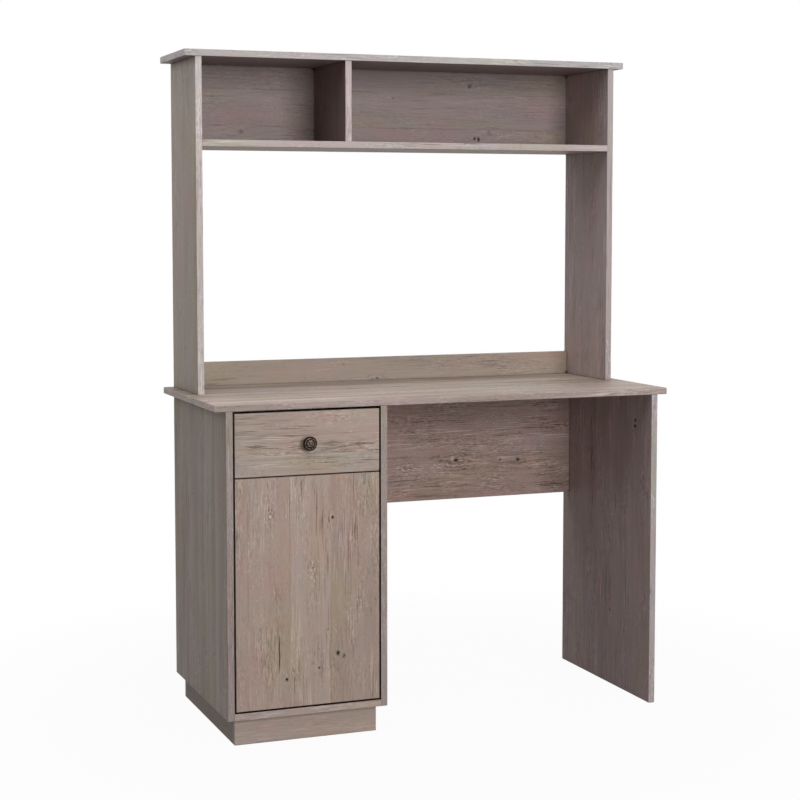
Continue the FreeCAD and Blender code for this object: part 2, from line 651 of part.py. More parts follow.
# Door on two concealed hinges, each turning on a pin inside its cup
add_board("door", door_left, door_right, front_y, front_back, door_bottom, door_top)
pivot = Vector(door_left + pivot_from_edge, front_y + pivot_from_front, 0.0)
cup_x = door_left + cup_from_edge
pin_far_side = cup_x - pivot.x + pin_radius
pin_half_length = math.sqrt(cup_radius ** 2 - pin_far_side ** 2)
half_arm = arm_thickness / 2
arm_inner_y = pivot.y + arm_rise - half_arm
arm_outer_y = pivot.y + arm_rise + half_arm
plate_face = inner_left + plate_thickness
for name, height in (("lower", door_bottom + hinge_end_distance), ("upper", door_top - hinge_end_distance)):
    cup_name = name + "_hinge_cup"
    arm_name = name + "_hinge_arm"
    plate_name = name + "_hinge_plate"
    cup_mouth = Vector(cup_x, front_back, height)
    turn = Vector(pivot.x, pivot.y, height)
    pin_hole = rod(turn, along_z, -cup_radius, cup_radius, pin_radius + fit_clearance)
    cut("door", rod(cup_mouth, along_y, -cup_depth - screw_clearance, drill_past,
                    cup_radius + screw_clearance))
    bowl = rod(cup_mouth, along_y, -cup_depth, 0.0, cup_radius)
    rim = rod(cup_mouth, along_y, 0.0, cup_flange, cup_flange_radius)
    wings = block(cup_x + cup_wing_near, cup_x + cup_wing_far, front_back, front_back + cup_flange,
                  height - cup_wing_reach, height + cup_wing_reach)
    hollow = rod(cup_mouth, along_y, cup_wall - cup_depth, cup_flange + drill_past, cup_radius - cup_wall)
    pieces[cup_name] = joined(bowl, rim, wings).cut([hollow, pin_hole])
    add_to("hinge_pins", rod(turn, along_z, -pin_half_length, pin_half_length, pin_radius))
    for rise in (-cup_screw_rise, cup_screw_rise):
        seat = Vector(cup_x + cup_screw_offset, front_back + cup_flange, height + rise)
        add_small_screw("door_hardware_screws", seat, -along_y, [cup_name], "door")

    low = height - arm_width / 2
    high = height + arm_width / 2
    elbow_x = pivot.x + arm_reach
    hub = rod(turn, along_z, -arm_width / 2, arm_width / 2, hub_radius)
    neck = block(pivot.x, elbow_x + half_arm, pivot.y - half_arm, pivot.y + half_arm, low, high)
    riser = block(elbow_x - half_arm, elbow_x + half_arm, pivot.y - half_arm, arm_outer_y, low, high)
    crossing = block(plate_face, elbow_x + half_arm, arm_inner_y, arm_outer_y, low, high)
    foot = block(plate_face, plate_face + arm_thickness, arm_inner_y, arm_inner_y + arm_foot_length,
                 low, high)
    pieces[arm_name] = joined(hub, neck, riser, crossing, foot).cut(pin_hole)
    pieces[plate_name] = block(inner_left, plate_face, arm_inner_y, arm_inner_y + arm_foot_length,
                               height - plate_height / 2, height + plate_height / 2)
    for rise in (-plate_screw_rise, plate_screw_rise):
        seat = Vector(plate_face, arm_inner_y + plate_screw_back, height + rise)
        add_small_screw("cabinet_hardware_screws", seat, -along_x, [plate_name], "cabinet_left_side")
    arm_seat = Vector(plate_face + arm_thickness, arm_inner_y + arm_screw_back, height)
    add_small_screw("cabinet_hardware_screws", arm_seat, -along_x, [arm_name, plate_name],
                    "cabinet_left_side", small_screw_length + arm_thickness)

# Push latch under the deck, facing a strike plate on the back of the door
latch_x = door_right - latch_from_edge
latch_z = deck_under - latch_height / 2
latch_front = front_back + latch_setback
strike_face = front_back + strike_thickness
latch_mouth = Vector(latch_x, latch_front, latch_z)
housing = eased_block(latch_x - latch_width / 2, latch_x + latch_width / 2, latch_front,
                      latch_front + latch_length, latch_z - latch_height / 2, deck_under, edge_ease)
ears = block(latch_x - latch_screw_spread, latch_x + latch_screw_spread, latch_front + latch_length / 3,
             latch_front + latch_length * 2 / 3, deck_under - plate_thickness, deck_under)
latch_bore = rod(latch_mouth, along_y, -drill_past, latch_bore_depth, plunger_radius + fit_clearance)
pieces["latch_body"] = joined(housing, ears).cut(latch_bore)
for offset in (-latch_screw_spread + small_screw_head_radius + screw_clearance,
               latch_screw_spread - small_screw_head_radius - screw_clearance):
    seat = Vector(latch_x + offset, latch_front + latch_length / 2, deck_under - plate_thickness)
    add_small_screw("cabinet_hardware_screws", seat, along_z, ["latch_body"], "drawer_deck")
plunger_tip = Vector(latch_x, strike_face + plunger_gap, latch_z)
plunger_rod = rod(plunger_tip, along_y, 0.0, plunger_length, plunger_radius)
pieces["latch_plunger"] = plunger_rod.makeFillet(edge_ease, [plunger_rod.Edges[0], plunger_rod.Edges[2]])
strike_right = latch_x + strike_end
pieces["strike_plate"] = block(strike_right - strike_length, strike_right, front_back, strike_face,
                               latch_z - strike_height / 2, latch_z + strike_height / 2)
strike_seat = Vector(latch_x - strike_screw_offset, strike_face, latch_z)
add_small_screw("door_hardware_screws", strike_seat, -along_y, ["strike_plate"], "door")

# Every hole is cut once all the pieces are known, and each piece is written to its own file
for name, tools in cutters.items():
    pieces[name] = pieces[name].cut(tools)
for name, solids in groups.items():
    pieces[name] = Part.makeCompound(solids)
for name, shape in pieces.items():
    solids = shape.Solids
    whole = solids[0] if len(solids) == 1 else Part.makeCompound(solids)
    whole.exportStep("parts/" + name + ".step")
    if name not in groups and len(solids) != 1:
        print(name, "has", len(solids), "solids")
print(len(pieces), "pieces written")
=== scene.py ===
import json
import math

import bmesh
import bpy
from mathutils import Matrix, Vector


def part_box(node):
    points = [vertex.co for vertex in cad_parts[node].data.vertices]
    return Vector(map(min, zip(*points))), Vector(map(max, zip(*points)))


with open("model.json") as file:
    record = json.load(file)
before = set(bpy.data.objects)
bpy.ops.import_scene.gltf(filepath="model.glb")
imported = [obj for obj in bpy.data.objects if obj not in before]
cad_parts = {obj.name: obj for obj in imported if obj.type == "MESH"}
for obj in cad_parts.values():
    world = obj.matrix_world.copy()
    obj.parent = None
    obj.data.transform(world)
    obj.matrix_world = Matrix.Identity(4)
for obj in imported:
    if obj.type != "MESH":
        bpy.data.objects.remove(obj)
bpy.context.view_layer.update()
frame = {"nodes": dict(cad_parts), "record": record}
nodes = frame["nodes"]
scene = bpy.context.scene
scene.view_settings.view_transform = "Standard"
print("frame loaded,", len(nodes), "pieces")


# node helpers; a colour is (red, green, blue)

def put(tree, kind, **settings):
    node = tree.nodes.new("ShaderNode" + kind)
    for name, value in settings.items():
        setattr(node, name, value)
    return node


def wire(tree, source, socket):
    if isinstance(source, bpy.types.NodeSocket):
        tree.links.new(source, socket)
    elif socket.type == "RGBA":
        socket.default_value = (*source, 1.0)
    else:
        socket.default_value = source


def calc(tree, how, *values):
    node = put(tree, "Math", operation=how)
    for value, socket in zip(values, node.inputs):
        wire(tree, value, socket)
    return node.outputs[0]


def add(tree, first, second):
    return calc(tree, "ADD", first, second)


def minus(tree, first, second):
    return calc(tree, "SUBTRACT", first, second)


def times(tree, first, second):
    return calc(tree, "MULTIPLY", first, second)


def over(tree, first, second):
    return calc(tree, "DIVIDE", first, second)


def larger(tree, first, second):
    return calc(tree, "MAXIMUM", first, second)


def isAbove(tree, value, limit):
    return calc(tree, "GREATER_THAN", value, limit)


def bell(tree, square):
    return calc(tree, "EXPONENT", times(tree, square, -1.0))


def swing(tree, noise):
    return minus(tree, noise, 0.5)    # noise either side of zero


def vecCalc(tree, how, *values):
    node = put(tree, "VectorMath", operation=how)
    for value, socket in zip(values, node.inputs):
        wire(tree, value, socket)
    return node.outputs["Value" if how in ("LENGTH", "DOT_PRODUCT") else "Vector"]


def split(tree, vector):
    node = put(tree, "SeparateXYZ")
    wire(tree, vector, node.inputs[0])
    return node.outputs


def join(tree, *parts):
    node = put(tree, "CombineXYZ")
    for value, socket in zip(parts, node.inputs):
        wire(tree, value, socket)
    return node.outputs[0]


def pick(tree, amount, first, second):
    node = put(tree, "Mix", data_type="FLOAT")
    for value, socket in zip((amount, first, second), (node.inputs[0], node.inputs[2], node.inputs[3])):
        wire(tree, value, socket)
    return node.outputs[0]


def tintBy(tree, amount, first, second, how="MIX"):
    node = put(tree, "Mix", data_type="RGBA", blend_type=how)
    for value, socket in zip((amount, first, second), (node.inputs[0], node.inputs[6], node.inputs[7])):
        wire(tree, value, socket)
    return node.outputs[2]


def stain(tree, colour, tint):
    return tintBy(tree, 1.0, colour, tint, "MULTIPLY")


def fade(tree, value, low, high, start=0.0, end=1.0):
    node = put(tree, "MapRange", interpolation_type="SMOOTHSTEP")
    for given, socket in zip((value, low, high, start, end), node.inputs):
        wire(tree, given, socket)
    return node.outputs[0]


def fadeOut(tree, value, low, high, most=1.0):
    return fade(tree, value, low, high, most, 0.0)


def grainNoise(tree, place, stretch, detail=2.0, rough=0.5):
    node = put(tree, "TexNoise", noise_dimensions="3D")
    spread = stretch if isinstance(stretch, tuple) else (stretch, stretch, stretch)
    wire(tree, vecCalc(tree, "MULTIPLY", place, spread), node.inputs["Vector"])
    node.inputs["Scale"].default_value = 1.0
    node.inputs["Detail"].default_value = detail
    node.inputs["Roughness"].default_value = rough
    return node.outputs["Fac"]


def newGroup(name, inputs, outputs):
    tree = bpy.data.node_groups.new(name, "ShaderNodeTree")
    for label, kind in inputs:
        tree.interface.new_socket(label, in_out="INPUT", socket_type="NodeSocket" + kind)
    for label, kind in outputs:
        tree.interface.new_socket(label, in_out="OUTPUT", socket_type="NodeSocket" + kind)
    source = tree.nodes.new("NodeGroupInput").outputs
    result = tree.nodes.new("NodeGroupOutput").inputs
    return tree, source, result


def useGroup(tree, group, **values):
    node = put(tree, "Group")
    node.node_tree = group
    for label, value in values.items():
        wire(tree, value, node.inputs[label])
    return node.outputs


def newMaterial(name):
    made = bpy.data.materials.new(name)
    made.use_nodes = True
    shader = made.node_tree.nodes["Principled BSDF"]
    return made, made.node_tree, shader


def objectSpot(tree):
    return put(tree, "TexCoord").outputs["Object"]


def dress(name, material):
    mesh = nodes[name].data
    mesh.materials.clear()
    mesh.materials.append(material)


def finishSurface(tree, shader, colour, roughness, height, emboss):
    wire(tree, colour, shader.inputs["Base Color"])
    wire(tree, roughness, shader.inputs["Roughness"])
    bump = put(tree, "Bump")
    strength, depth = emboss
    bump.inputs["Strength"].default_value = strength
    bump.inputs["Distance"].default_value = depth
    wire(tree, height, bump.inputs["Height"])
    wire(tree, bump.outputs[0], shader.inputs["Normal"])


# knots in the oak print: the grain parts round them and is livelier there

knotLook = {
    "spreadAlong": 7.0, "spreadAcross": 4.0, "bend": 0.75,
    "stirAlong": 16.0, "stirAcross": 8.0,
    "oval": 1.2, "ragged": 1.9, "raggedStretch": (420.0, 420.0, 60.0),
    "coreFrom": 0.7, "coreTo": 1.15, "halo": 2.4, "haloShade": 0.34,    # in knot sizes
    "rimFrom": 1.4, "rimTo": 3.4, "rimTone": 0.20,
    "rimStretch": (260.0, 300.0, 60.0), "rimBreaks": (0.42, 0.60),
}


def nearness(tree, along, across, size, reachAlong, reachAcross):
    stepAlong = over(tree, along, times(tree, size, reachAlong))
    stepAcross = over(tree, across, times(tree, size, reachAcross))
    return bell(tree, add(tree, times(tree, stepAlong, stepAlong), times(tree, stepAcross, stepAcross)))


def makeKnotGroup():
    look = knotLook
    carried = [("Place", "Vector"), ("Shade", "Float"), ("Figure", "Float"), ("Tone", "Float")]
    own = [("Centre", "Vector"), ("Size", "Float"), ("Depth", "Float")]
    tree, source, result = newGroup("knotMark", carried + own, carried)
    size = source["Size"]
    along, across, through = split(tree, vecCalc(tree, "SUBTRACT", source["Place"], source["Centre"]))
    swell = nearness(tree, along, across, size, look["spreadAlong"], look["spreadAcross"])
    kept = minus(tree, 1.0, times(tree, swell, look["bend"]))
    bent = join(tree, along, times(tree, across, kept), through)
    wire(tree, vecCalc(tree, "ADD", bent, source["Centre"]), result["Place"])
    stir = nearness(tree, along, across, size, look["stirAlong"], look["stirAcross"])
    wire(tree, larger(tree, source["Figure"], stir), result["Figure"])
    # dark core, brown halo and a pale broken rim
    rugged = swing(tree, grainNoise(tree, source["Place"], look["raggedStretch"], rough=0.6))
    away = vecCalc(tree, "LENGTH", join(tree, over(tree, along, look["oval"]), across, 0.0))
    radius = add(tree, over(tree, away, size), times(tree, rugged, look["ragged"]))
    core = fadeOut(tree, radius, look["coreFrom"], look["coreTo"])
    halo = fadeOut(tree, radius, look["coreTo"], look["halo"], look["haloShade"])
    mark = times(tree, larger(tree, core, halo), source["Depth"])
    wire(tree, larger(tree, source["Shade"], mark), result["Shade"])
    rim = times(tree, fade(tree, radius, look["coreTo"], look["rimFrom"]),
                fadeOut(tree, radius, look["rimFrom"], look["rimTo"]))
    breaks = grainNoise(tree, source["Place"], look["rimStretch"], detail=1.0)
    broken = fade(tree, breaks, *look["rimBreaks"])
    lift = times(tree, times(tree, rim, broken), times(tree, source["Depth"], look["rimTone"]))
    wire(tree, add(tree, source["Tone"], lift), result["Tone"])
    return tree


# cracks: a thin dark line that wanders and tapers to its ends, which are given in crack lengths

crackLook = {"width": 0.0011, "wander": 0.005, "wanderStretch": (38.0, 2.0, 2.0),
             "taper": (0.1, 0.5), "ends": (0.38, 0.5)}


def makeCrackGroup():
    look = crackLook
    inputs = [("Place", "Vector"), ("Centre", "Vector"), ("Length", "Float"), ("Depth", "Float"),
              ("Shade", "Float")]
    tree, source, result = newGroup("crackMark", inputs, [("Shade", "Float")])
    along, across = split(tree, vecCalc(tree, "SUBTRACT", source["Place"], source["Centre"]))[:2]
    wander = swing(tree, grainNoise(tree, source["Place"], look["wanderStretch"]))
    offLine = calc(tree, "ABSOLUTE", add(tree, across, times(tree, wander, look["wander"])))
    offEnd = over(tree, calc(tree, "ABSOLUTE", along), source["Length"])
    width = times(tree, fadeOut(tree, offEnd, *look["taper"]), look["width"])
    mark = fadeOut(tree, minus(tree, offLine, width), 0.0, look["width"])
    inside = times(tree, fadeOut(tree, offEnd, *look["ends"]), source["Depth"])
    wire(tree, larger(tree, source["Shade"], times(tree, mark, inside)), result["Shade"])
    return tree


# washed oak print: colour, gloss and pores for a face, its edge bands and its eased corners, with painted
# shade in narrow gaps, in inner corners and on a board's shaded face

oakLook = {
    "stops": ((0.0, (0.100, 0.072, 0.056)), (0.2, (0.215, 0.163, 0.130)), (0.5, (0.362, 0.288, 0.239)),
              (0.8, (0.490, 0.412, 0.355)), (1.0, (0.620, 0.548, 0.488))),
    "midTone": 0.5,
    "rubbed": (0.490, 0.412, 0.355),
    "knot": (0.030, 0.019, 0.015),
    "pink": (1.046, 0.977, 0.988),
    "olive": (0.988, 1.014, 0.910),
    "slate": (0.962, 0.992, 1.035),
    "edgeTurn": 0.75,    # past this the surface is an edge or an end
    "corner": (0.84, 0.995),
    "wornCorner": 0.30,
    "plankStep": 7.31, "edgeStep": 3.3,    # keep the draws of planks and edges apart
    "plankJump": 5.0, "plankDepth": 9.0,    # how far apart the planks lie in the print
    "plankTone": 0.07,
    "seamShade": 0.16,
    "slowStretch": (1.3, 4.5, 1.0), "slowWander": 0.022,
    "quickStretch": (9.0, 24.0, 1.0), "quickWander": 0.0035,
    "broadStretch": (1.5, 26.0, 41.0),
    "leastMarks": 0.2,    # dashes and flecks on a board without figure
    "markPatches": (0.47, 0.64),
    "gloss": 0.52, "streakGloss": 0.22, "poreGloss": 0.16,
    "fineLift": 0.5, "middleLift": 0.6, "knotSink": 0.8,
    # painted shadow for gaps and inner corners: its colour, how far the occlusion reaches, where it fades
    # in, and its rays
    "paintedGapShadow": (0.016, 0.008, 0.005), "gapReach": 0.014, "gap": (0.24, 0.64), "gapRays": 12,
}
# streaks everywhere: stretch (along, across, depth), detail and strength; all but the soft ones come and go
oakStreaks = {
    "soft": ((4.5, 75.0, 1.0), 2.0, 0.15),
    "middle": ((26.0, 320.0, 1.0), 3.0, 0.36),
    "fine": ((90.0, 700.0, 1.0), 2.0, 0.40),
}
# crisp marks in patches: stretch, where the noise turns into a mark, stretch of the patches, strength
oakMarks = {
    "light": ((13.0, 400.0, 3.0), 0.57, 0.68, (3.0, 16.0, 5.0), 0.21),
    "dark": ((12.0, 440.0, 7.0), 0.57, 0.68, (2.6, 17.0, 9.0), -0.28),
    "fleck": ((120.0, 430.0, 17.0), 0.58, 0.68, (9.0, 20.0, 19.0), 0.40),
    "dash": ((85.0, 480.0, 11.0), 0.58, 0.69, (9.0, 22.0, 13.0), -0.34),
    "pore": ((110.0, 1300.0, 2.0), 0.60, 0.70, (4.0, 30.0, 3.0), -0.16),
}
oakStir = {"stretch": (7.0, 19.0, 37.0), "reach": (0.44, 0.68), "least": 0.24, "most": 2.6}
oakRings = {"perMetre": 75.0, "swell": 13.0, "swellStretch": (1.7, 6.0, 1.0), "ragged": 1.2,
            "rise": (0.35, 0.9), "fall": (0.9, 1.0), "strength": -0.16,
            "fieldStretch": (1.9, 12.0, 7.0), "field": (0.44, 0.62)}
# tinted clouds: tint, stretch, where they begin and are full
oakClouds = (
    ("pink", (5.0, 9.0, 11.0), 0.47, 0.70),
    ("olive", (4.0, 10.0, 17.0), 0.47, 0.70),
    ("pink", (14.0, 22.0, 23.0), 0.54, 0.74),
    ("slate", (11.0, 19.0, 31.0), 0.54, 0.74),
)


def oakPlace(tree, source, isEnd, isEdge):
    # edge bands carry the print along their own length, and each plank has its own stretch of the print
    look = oakLook
    spot = split(tree, source["Place"])
    alongRaw = pick(tree, isEnd, spot[0], spot[1])
    acrossRaw = pick(tree, isEnd, add(tree, spot[1], spot[2]), spot[2])
    draw = put(tree, "TexWhiteNoise", noise_dimensions="1D")
    plankDraw = add(tree, times(tree, source["Plank"], look["plankStep"]), source["Seed"])
    wire(tree, add(tree, plankDraw, times(tree, isEdge, look["edgeStep"])), draw.inputs["W"])
    chances = put(tree, "SeparateColor")
    wire(tree, draw.outputs["Color"], chances.inputs[0])
    along = add(tree, alongRaw, times(tree, chances.outputs[0], look["plankJump"]))
    deep = add(tree, source["Seed"], times(tree, chances.outputs[1], look["plankDepth"]))
    raw = join(tree, along, acrossRaw, deep)
    # slow and quick wander of the grain lines
    slow = swing(tree, grainNoise(tree, raw, look["slowStretch"], detail=1.0))
    quick = swing(tree, grainNoise(tree, raw, look["quickStretch"], detail=1.0))
    wander = add(tree, times(tree, slow, look["slowWander"]), times(tree, quick, look["quickWander"]))
    across = add(tree, acrossRaw, wander)
    return raw, join(tree, along, across, deep), across, chances.outputs[2]


def oakRingMark(tree, source, grain, across, middle):
    # arched growth rings where the figure is lively
    look = oakRings
    swell = swing(tree, grainNoise(tree, grain, look["swellStretch"], detail=1.0))
    arch = add(tree, times(tree, across, look["perMetre"]), times(tree, swell, look["swell"]))
    wave = calc(tree, "FRACT", add(tree, arch, times(tree, middle, look["ragged"])))
    mark = times(tree, fade(tree, wave, *look["rise"]), fadeOut(tree, wave, *look["fall"]))
    field = fade(tree, grainNoise(tree, grain, look["fieldStretch"], detail=1.0), *look["field"])
    return times(tree, times(tree, mark, field), source["Figure"])


def oakTone(tree, source, grain, across, plankChance):
    # every streak, mark and ring adds to one tone
    look = oakLook
    change = times(tree, swing(tree, plankChance), look["plankTone"])
    broad = swing(tree, grainNoise(tree, grain, look["broadStretch"]))
    change = add(tree, change, times(tree, broad, source["Broad"]))
    stirring = grainNoise(tree, grain, oakStir["stretch"], detail=1.0)
    stir = fade(tree, stirring, *oakStir["reach"], oakStir["least"], oakStir["most"])
    streaks = {}
    for label, (stretch, detail, strength) in oakStreaks.items():
        streaks[label] = swing(tree, grainNoise(tree, grain, stretch, detail, rough=0.6))
        amount = strength if label == "soft" else times(tree, stir, strength)
        change = add(tree, change, times(tree, streaks[label], amount))
    lively = add(tree, look["leastMarks"], source["Figure"])
    marks = {}
    for label, (stretch, low, high, patches, strength) in oakMarks.items():
        crisp = fade(tree, grainNoise(tree, grain, stretch, detail=1.0), low, high)
        patch = fade(tree, grainNoise(tree, grain, patches, detail=1.0), *look["markPatches"])
        marks[label] = times(tree, crisp, patch)
        if label in ("dash", "fleck"):
            marks[label] = times(tree, marks[label], lively)
        change = add(tree, change, times(tree, marks[label], strength))
    ring = oakRingMark(tree, source, grain, across, streaks["middle"])
    change = add(tree, change, times(tree, ring, oakRings["strength"]))
    level = add(tree, source["Tone"], look["midTone"])
    tone = add(tree, times(tree, change, source["Contrast"]), level)
    tone = minus(tree, tone, times(tree, source["Seam"], look["seamShade"]))
    return tone, streaks, marks


def oakShade(tree, tone, raw):
    # the tone picks a colour, and tinted clouds drift over it
    stops = oakLook["stops"]
    ramp = put(tree, "ValToRGB")
    elements = ramp.color_ramp.elements
    for place, shade in stops[1:-1]:
        elements.new(place)
    for element, (place, shade) in zip(elements, stops):
        element.position = place
        element.color = (*shade, 1.0)
    wire(tree, tone, ramp.inputs[0])
    colour = ramp.outputs[0]
    for shade, stretch, low, high in oakClouds:
        cloud = fade(tree, grainNoise(tree, raw, stretch, detail=1.0), low, high)
        colour = tintBy(tree, cloud, colour, stain(tree, colour, oakLook[shade]))
    return colour


def makeOakGroup():
    look = oakLook
    vectors = [("Place", "Vector"), ("Facing", "Vector")]
    colours = [(label, "Color") for label in ("Tint", "EdgeTint", "EndTint", "InnerTint")]
    amounts = [(label, "Float") for label in ("Plank", "Seam", "Knot", "Seed", "Figure", "Tone", "Contrast",
                                              "Broad", "InnerWay", "Reveal")]
    outputs = [("Colour", "Color"), ("Roughness", "Float"), ("Height", "Float")]
    tree, source, result = newGroup("oakPrint", vectors + colours + amounts, outputs)
    # which way the surface faces, in the board's own grain axes
    facing = split(tree, vecCalc(tree, "ABSOLUTE", source["Facing"]))
    isEnd = isAbove(tree, facing[0], look["edgeTurn"])
    isEdge = larger(tree, isEnd, isAbove(tree, facing[1], look["edgeTurn"]))
    isCorner = fadeOut(tree, larger(tree, larger(tree, facing[0], facing[1]), facing[2]), *look["corner"])
    # painted shade: the board's shaded face takes its own tint
    shadedFacing = times(tree, split(tree, source["Facing"])[2], source["InnerWay"])
    isShadedFace = isAbove(tree, shadedFacing, 0.5)
    raw, grain, across, plankChance = oakPlace(tree, source, isEnd, isEdge)
    tone, streaks, marks = oakTone(tree, source, grain, across, plankChance)
    colour = oakShade(tree, tone, raw)
    faceTint = tintBy(tree, isShadedFace, source["Tint"], source["InnerTint"])
    colour = stain(tree, colour, tintBy(tree, isEdge, faceTint, source["EdgeTint"]))
    colour = tintBy(tree, isEnd, colour, stain(tree, colour, source["EndTint"]))
    colour = tintBy(tree, times(tree, isCorner, look["wornCorner"]), colour, look["rubbed"])
    colour = tintBy(tree, source["Knot"], colour, look["knot"])
    # painted shade: ambient occlusion darkens the colour in narrow gaps, such as the reveals round the
    # drawer and the door, and in inner corners
    gapOcclusion = put(tree, "AmbientOcclusion", samples=look["gapRays"])
    gapOcclusion.inputs["Distance"].default_value = look["gapReach"]
    paintedGapShade = times(tree, fadeOut(tree, gapOcclusion.outputs["AO"], *look["gap"]), source["Reveal"])
    wire(tree, tintBy(tree, paintedGapShade, colour, look["paintedGapShadow"]), result["Colour"])
    gloss = add(tree, look["gloss"], times(tree, streaks["middle"], look["streakGloss"]))
    wire(tree, add(tree, gloss, times(tree, marks["pore"], look["poreGloss"])), result["Roughness"])
    lift = add(tree, times(tree, streaks["fine"], look["fineLift"]),
               times(tree, streaks["middle"], look["middleLift"]))
    sunk = add(tree, marks["pore"], times(tree, source["Knot"], look["knotSink"]))
    wire(tree, minus(tree, lift, sunk), result["Height"])
    return tree


knotGroup = makeKnotGroup()
crackGroup = makeCrackGroup()
oakGroup = makeOakGroup()
print("oak print ready")


# one board's print: its grain axes, marks and planks go to the oak print

axes = {"X": Vector((1, 0, 0)), "Y": Vector((0, 1, 0)), "Z": Vector((0, 0, 1))}
plain = (1.0, 1.0, 1.0)
# the painted gap shade is on for every board unless a board turns it off, as the moving boards do
plainBoard = {"tone": 0.0, "contrast": 1.0, "broad": 0.1, "gapShadeAmount": 1.0, "shadedFaceWay": 0.0,
              "tint": plain, "paintedShadeTint": plain, "edgeTint": plain, "endTint": plain,
              "seams": (), "knots": (), "cracks": ()}
seamLook = {"width": (0.0006, 0.0022), "breakStretch": (9.0, 3.0, 3.0), "breaks": (0.40, 0.60)}


def oakSurface(tree, name, boardLook):
    look = {**plainBoard, **boardLook}
    low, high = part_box(name)
    along = axes[look["grain"]]
    across = axes[look["across"]]
    turn = Matrix((along, across, along.cross(across)))
    coord = put(tree, "TexCoord")
    place = put(tree, "Mapping")
    place.inputs["Rotation"].default_value = turn.to_euler()
    place.inputs["Location"].default_value = -(turn @ ((low + high) / 2))
    wire(tree, coord.outputs["Object"], place.inputs["Vector"])
    facing = put(tree, "Mapping", vector_type="VECTOR")
    facing.inputs["Rotation"].default_value = turn.to_euler()
    wire(tree, coord.outputs["Normal"], facing.inputs["Vector"])
    spot = place.outputs[0]
    shade = 0.0
    figure = look["figure"]
    tone = look["tone"]
    for alongAt, acrossAt, size, depth in look["knots"]:
        marked = useGroup(tree, knotGroup, Place=spot, Shade=shade, Figure=figure, Tone=tone,
                          Centre=(alongAt, acrossAt, 0.0), Size=size, Depth=depth)
        spot, shade, figure, tone = (marked[label] for label in ("Place", "Shade", "Figure", "Tone"))
    for alongAt, acrossAt, length, depth in look["cracks"]:
        shade = useGroup(tree, crackGroup, Place=spot, Centre=(alongAt, acrossAt, 0.0), Length=length,
                         Depth=depth, Shade=shade)["Shade"]
    spotAcross = split(tree, spot)[1]
    plank = 0.0
    offSeam = 1.0
    for seam in look["seams"]:
        plank = add(tree, plank, isAbove(tree, spotAcross, seam))
        offSeam = calc(tree, "MINIMUM", offSeam, calc(tree, "ABSOLUTE", minus(tree, spotAcross, seam)))
    broken = fade(tree, grainNoise(tree, spot, seamLook["breakStretch"]), *seamLook["breaks"])
    seamMark = times(tree, fadeOut(tree, offSeam, *seamLook["width"]), broken)
    return useGroup(tree, oakGroup, Place=spot, Facing=facing.outputs[0], Plank=plank, Seam=seamMark,
                    Knot=shade, Seed=look["seed"], Figure=figure, Tone=tone, Contrast=look["contrast"],
                    Broad=look["broad"], Tint=look["tint"], EdgeTint=look["edgeTint"],
                    EndTint=look["endTint"], InnerWay=look["shadedFaceWay"], InnerTint=look["paintedShadeTint"],
                    Reveal=look["gapShadeAmount"])


embossLook = {"emboss": (0.35, 0.0004), "specular": 0.12}    # strength and depth in metres


def finishOak(tree, shader, colour, roughness, height):
    finishSurface(tree, shader, colour, roughness, height, embossLook["emboss"])
    shader.inputs["Specular IOR Level"].default_value = embossLook["specular"]


def dressBoard(name, look):
    made, tree, shader = newMaterial("washed_oak_" + name)
    oak = oakSurface(tree, name, look)
    finishOak(tree, shader, oak["Colour"], oak["Roughness"], oak["Height"])
    dress(name, made)


# boards; places on them are (along the grain, across it) in metres from the board's middle
# seams are places across, knots are (along, across, size, depth), cracks are (along, across, length, depth)
# one face of a board can take a tint of painted shade: the face towards along x across, or away from it
# where the way given is -1

cabinetEdge = (0.90, 0.92, 1.00)
deskEdge = (1.00, 1.00, 1.12)

doorLook = {
    "grain": "Z", "across": "X", "seed": 3.1, "figure": 0.18, "tone": 0.045, "contrast": 1.2,
    "gapShadeAmount": 0.0, "tint": (1.01, 0.975, 0.985), "edgeTint": cabinetEdge,
    "seams": (-0.138, -0.0427, 0.0518),
    "knots": ((0.160, 0.056, 0.0026, 1.0), (0.175, -0.086, 0.0020, 0.4), (-0.144, 0.068, 0.0040, 1.0),
              (-0.151, 0.078, 0.0036, 0.7), (-0.192, -0.051, 0.0031, 1.0), (-0.173, 0.024, 0.0022, 0.9),
              (0.050, 0.010, 0.0019, 0.5), (-0.089, 0.045, 0.0016, 0.5), (-0.131, 0.024, 0.0022, 0.3)),
    "cracks": ((-0.135, -0.068, 0.095, 0.85),),
}
dressBoard("door", doorLook)

drawerFrontLook = {
    "grain": "X", "across": "Z", "seed": 5.7, "figure": 0.22, "tone": 0.055, "contrast": 1.45,
    "gapShadeAmount": 0.0, "tint": (1.0, 1.01, 1.03), "edgeTint": cabinetEdge,
    "seams": (-0.024,),
    "knots": ((-0.120, -0.002, 0.0018, 0.5), (0.055, -0.004, 0.0016, 0.4)),
    "cracks": ((-0.118, -0.003, 0.055, 0.45), (0.050, -0.002, 0.070, 0.45), (0.125, -0.007, 0.075, 0.5)),
}
dressBoard("drawer_front", drawerFrontLook)

# the lighter ends are partly the edge band's colour and partly painted light
desktopLook = {
    "grain": "X", "across": "Y", "seed": 8.3, "figure": 0.3, "contrast": 1.45, "broad": 0.8,
    "tint": (0.93, 0.945, 0.975), "edgeTint": deskEdge, "endTint": (1.45, 1.45, 1.42),
    "seams": (-0.14, -0.03, 0.07, 0.15),
    "knots": ((-0.31, -0.09, 0.0030, 0.6), (0.27, 0.03, 0.0028, 0.6)),
}
dressBoard("desktop", desktopLook)

